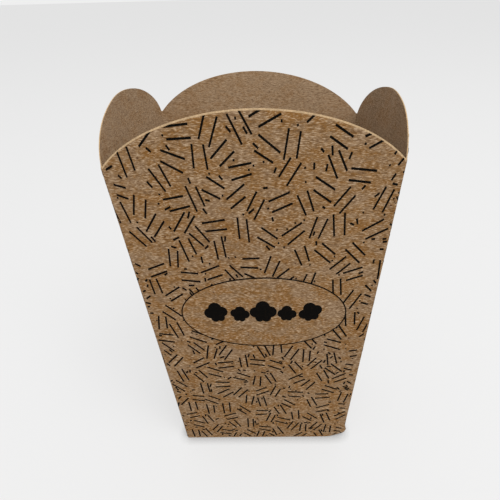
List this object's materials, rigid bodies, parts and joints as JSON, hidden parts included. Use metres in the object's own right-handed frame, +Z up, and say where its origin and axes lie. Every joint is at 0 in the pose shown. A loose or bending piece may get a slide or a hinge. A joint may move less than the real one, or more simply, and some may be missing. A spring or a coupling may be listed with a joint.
{
  "type": "popcorn container",
  "caption": "Open takeaway popcorn box folded from one sheet of brown kraft card, wider at the mouth, with an arched rim on every wall.",
  "frame": {"origin": "middle of the bottom face, on the surface that the box stands on", "axes": "+Z up, out of the mouth; front wall toward -Y; +X toward the right wall as seen from the front"},
  "size_m": [0.1028, 0.072, 0.1691],
  "materials": {
    "kraft_card": "matte uncoated"
  },
  "bodies": {
    "root": {"popcorn_box": "kraft_card"}
  },
  "joints": []
}
